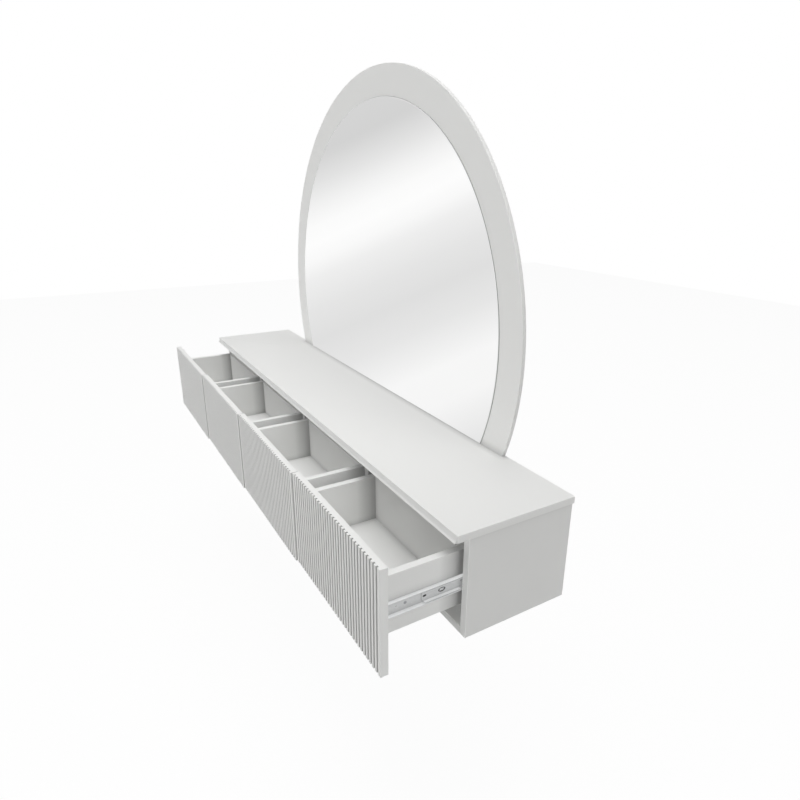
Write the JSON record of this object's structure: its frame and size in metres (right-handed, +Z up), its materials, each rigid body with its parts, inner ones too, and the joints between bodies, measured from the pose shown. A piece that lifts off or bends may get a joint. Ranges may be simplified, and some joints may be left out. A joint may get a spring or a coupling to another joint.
{
  "type": "wall-mounted dressing table",
  "caption": "White wall-mounted dressing table with fluted drawer fronts on ball-bearing runners and a round mirror on top.",
  "frame": {"origin": "centre of the four wall-bolt holes, on the wall face of the back panel", "axes": "+X to the right along the wall, +Y into the wall, +Z up; the drawers open towards -Y"},
  "size_m": [1.6, 0.44, 1.0895],
  "materials": {
    "white_lacquer": "satin",
    "white_board": "satin",
    "silvered_glass": "polished",
    "zinc_steel": "satin",
    "cage_steel": "satin",
    "screw_steel": "satin",
    "beech": "matte"
  },
  "bodies": {
    "carcass": {"top_board": "white_lacquer", "side_left": "white_lacquer", "side_right": "white_lacquer", "bottom_board": "white_lacquer", "partition_left": "white_lacquer", "partition_mid": "white_lacquer", "partition_right": "white_lacquer", "back_panel": "white_lacquer", "cabinet_rails": "zinc_steel", "cabinet_screws": "screw_steel", "carcass_dowels": "beech", "mirror_board": "white_lacquer", "mirror_glass": "silvered_glass", "mirror_dowels": "beech", "hanger_plates": "zinc_steel", "hanger_screws": "screw_steel"},
    "drawer_1": {"front_1": "white_lacquer", "box_left_1": "white_board", "box_right_1": "white_board", "box_back_1": "white_board", "box_bottom_1": "white_board", "drawer_dowels_1": "beech", "drawer_rails_1": "zinc_steel", "drawer_screws_1": "screw_steel"},
    "middle_1": {"middle_rails_1": "zinc_steel"},
    "outer_cage_1": {"outer_cages_1": "cage_steel"},
    "inner_cage_1": {"inner_cages_1": "cage_steel"},
    "drawer_2": {"front_2": "white_lacquer", "box_left_2": "white_board", "box_right_2": "white_board", "box_back_2": "white_board", "box_bottom_2": "white_board", "drawer_dowels_2": "beech", "drawer_rails_2": "zinc_steel", "drawer_screws_2": "screw_steel"},
    "middle_2": {"middle_rails_2": "zinc_steel"},
    "outer_cage_2": {"outer_cages_2": "cage_steel"},
    "inner_cage_2": {"inner_cages_2": "cage_steel"},
    "drawer_3": {"front_3": "white_lacquer", "box_left_3": "white_board", "box_right_3": "white_board", "box_back_3": "white_board", "box_bottom_3": "white_board", "drawer_dowels_3": "beech", "drawer_rails_3": "zinc_steel", "drawer_screws_3": "screw_steel"},
    "middle_3": {"middle_rails_3": "zinc_steel"},
    "outer_cage_3": {"outer_cages_3": "cage_steel"},
    "inner_cage_3": {"inner_cages_3": "cage_steel"},
    "drawer_4": {"front_4": "white_lacquer", "box_left_4": "white_board", "box_right_4": "white_board", "box_back_4": "white_board", "box_bottom_4": "white_board", "drawer_dowels_4": "beech", "drawer_rails_4": "zinc_steel", "drawer_screws_4": "screw_steel"},
    "middle_4": {"middle_rails_4": "zinc_steel"},
    "outer_cage_4": {"outer_cages_4": "cage_steel"},
    "inner_cage_4": {"inner_cages_4": "cage_steel"}
  },
  "joints": [
    {"name": "drawer_1_slide", "type": "slide", "parent": "carcass", "child": "drawer_1", "axis": [0, -1, 0], "range_m": [-0.173, 0.007]},
    {"name": "middle_1_slide", "type": "slide", "parent": "carcass", "child": "middle_1", "axis": [0, -1, 0], "range_m": [-0.0865, 0.0035]},
    {"name": "outer_cage_1_slide", "type": "slide", "parent": "carcass", "child": "outer_cage_1", "axis": [0, -1, 0], "range_m": [-0.12975, 0.00525]},
    {"name": "inner_cage_1_slide", "type": "slide", "parent": "carcass", "child": "inner_cage_1", "axis": [0, -1, 0], "range_m": [-0.04325, 0.00175]},
    {"name": "drawer_2_slide", "type": "slide", "parent": "carcass", "child": "drawer_2", "axis": [0, -1, 0], "range_m": [-0.1695, 0.0105]},
    {"name": "middle_2_slide", "type": "slide", "parent": "carcass", "child": "middle_2", "axis": [0, -1, 0], "range_m": [-0.08475, 0.00525]},
    {"name": "outer_cage_2_slide", "type": "slide", "parent": "carcass", "child": "outer_cage_2", "axis": [0, -1, 0], "range_m": [-0.12712, 0.00788]},
    {"name": "inner_cage_2_slide", "type": "slide", "parent": "carcass", "child": "inner_cage_2", "axis": [0, -1, 0], "range_m": [-0.04238, 0.00263]},
    {"name": "drawer_3_slide", "type": "slide", "parent": "carcass", "child": "drawer_3", "axis": [0, -1, 0], "range_m": [-0.166, 0.014]},
    {"name": "middle_3_slide", "type": "slide", "parent": "carcass", "child": "middle_3", "axis": [0, -1, 0], "range_m": [-0.083, 0.007]},
    {"name": "outer_cage_3_slide", "type": "slide", "parent": "carcass", "child": "outer_cage_3", "axis": [0, -1, 0], "range_m": [-0.1245, 0.0105]},
    {"name": "inner_cage_3_slide", "type": "slide", "parent": "carcass", "child": "inner_cage_3", "axis": [0, -1, 0], "range_m": [-0.0415, 0.0035]},
    {"name": "drawer_4_slide", "type": "slide", "parent": "carcass", "child": "drawer_4", "axis": [0, -1, 0], "range_m": [-0.1625, 0.0175]},
    {"name": "middle_4_slide", "type": "slide", "parent": "carcass", "child": "middle_4", "axis": [0, -1, 0], "range_m": [-0.08125, 0.00875]},
    {"name": "outer_cage_4_slide", "type": "slide", "parent": "carcass", "child": "outer_cage_4", "axis": [0, -1, 0], "range_m": [-0.12187, 0.01312]},
    {"name": "inner_cage_4_slide", "type": "slide", "parent": "carcass", "child": "inner_cage_4", "axis": [0, -1, 0], "range_m": [-0.04063, 0.00438]}
  ],
  "couplings": [
    {"joint": "middle_1_slide", "follows": "drawer_1_slide", "ratio": 0.5},
    {"joint": "outer_cage_1_slide", "follows": "drawer_1_slide", "ratio": 0.75},
    {"joint": "inner_cage_1_slide", "follows": "drawer_1_slide", "ratio": 0.25},
    {"joint": "middle_2_slide", "follows": "drawer_2_slide", "ratio": 0.5},
    {"joint": "outer_cage_2_slide", "follows": "drawer_2_slide", "ratio": 0.75},
    {"joint": "inner_cage_2_slide", "follows": "drawer_2_slide", "ratio": 0.25},
    {"joint": "middle_3_slide", "follows": "drawer_3_slide", "ratio": 0.5},
    {"joint": "outer_cage_3_slide", "follows": "drawer_3_slide", "ratio": 0.75},
    {"joint": "inner_cage_3_slide", "follows": "drawer_3_slide", "ratio": 0.25},
    {"joint": "middle_4_slide", "follows": "drawer_4_slide", "ratio": 0.5},
    {"joint": "outer_cage_4_slide", "follows": "drawer_4_slide", "ratio": 0.75},
    {"joint": "inner_cage_4_slide", "follows": "drawer_4_slide", "ratio": 0.25}
  ]
}
